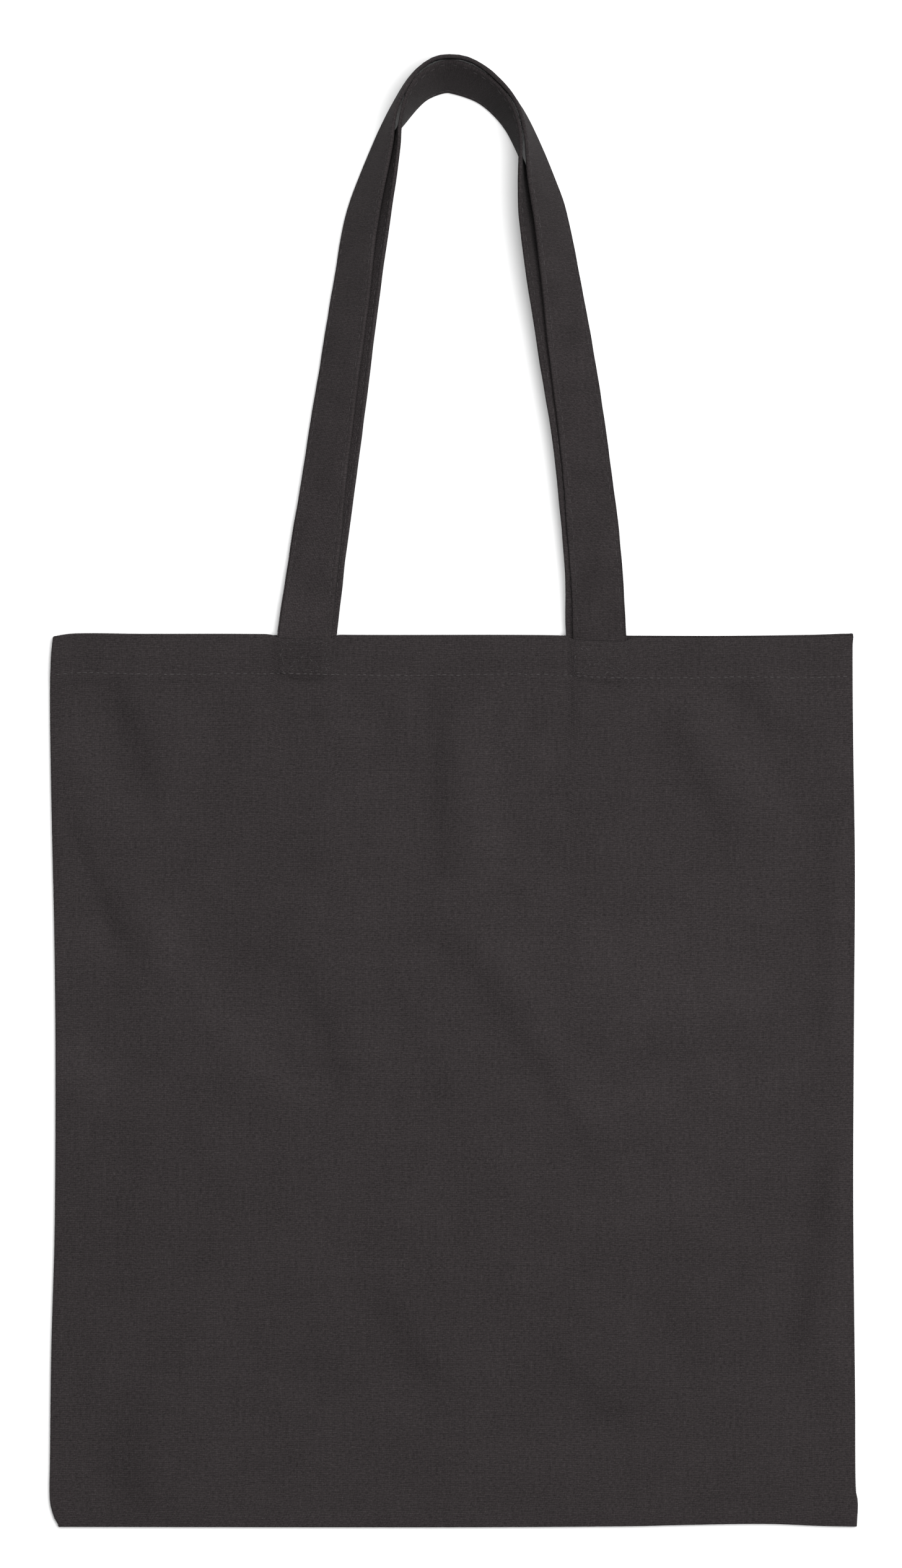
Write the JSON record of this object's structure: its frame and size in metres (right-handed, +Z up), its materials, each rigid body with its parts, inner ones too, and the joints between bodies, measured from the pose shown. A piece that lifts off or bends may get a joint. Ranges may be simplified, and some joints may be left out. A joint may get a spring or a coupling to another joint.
{
  "type": "tote bag",
  "caption": "Flat canvas tote bag with a hemmed open mouth and two long self-fabric shoulder handles.",
  "frame": {"origin": "middle of the back panel's outer face, the face the bag lies on", "axes": "+Y from the bottom seam to the mouth and handles, +X across the bag, +Z up out of the front panel"},
  "size_m": [0.379, 0.6957, 0.0256],
  "materials": {
    "canvas": "matte plain-weave cotton canvas",
    "strap_canvas": "matte folded cotton canvas",
    "thread": "matte sewing thread"
  },
  "bodies": {
    "back_half": {"back_panel": "canvas", "back_left_tab": "strap_canvas", "back_right_tab": "strap_canvas", "back_hem_thread": "thread", "back_left_box_stitch": "thread", "back_right_box_stitch": "thread", "left_seam_thread": "thread", "right_seam_thread": "thread", "bottom_seam_thread": "thread"},
    "front_half": {"front_panel": "canvas", "front_left_tab": "strap_canvas", "front_right_tab": "strap_canvas", "front_hem_thread": "thread", "front_left_box_stitch": "thread", "front_right_box_stitch": "thread"},
    "front_loop": {"front_handle": "strap_canvas", "front_handle_outer_thread": "thread", "front_handle_inner_thread": "thread"},
    "back_loop": {"back_handle": "strap_canvas", "back_handle_outer_thread": "thread", "back_handle_inner_thread": "thread"}
  },
  "joints": [
    {"name": "mouth_opening", "type": "hinge", "parent": "back_half", "child": "front_half", "pos_m": [0, -0.2105, 0.0015], "axis": [1, 0, 0], "range_deg": [0, 7]},
    {"name": "front_handle_fold", "type": "hinge", "parent": "front_half", "child": "front_loop", "pos_m": [0, 0.2114, 0.0091], "axis": [1, 0, 0], "range_deg": [0, 165]},
    {"name": "back_handle_fold", "type": "hinge", "parent": "back_half", "child": "back_loop", "pos_m": [0, 0.2114, -0.0003], "axis": [1, 0, 0], "range_deg": [-175, 0]}
  ]
}
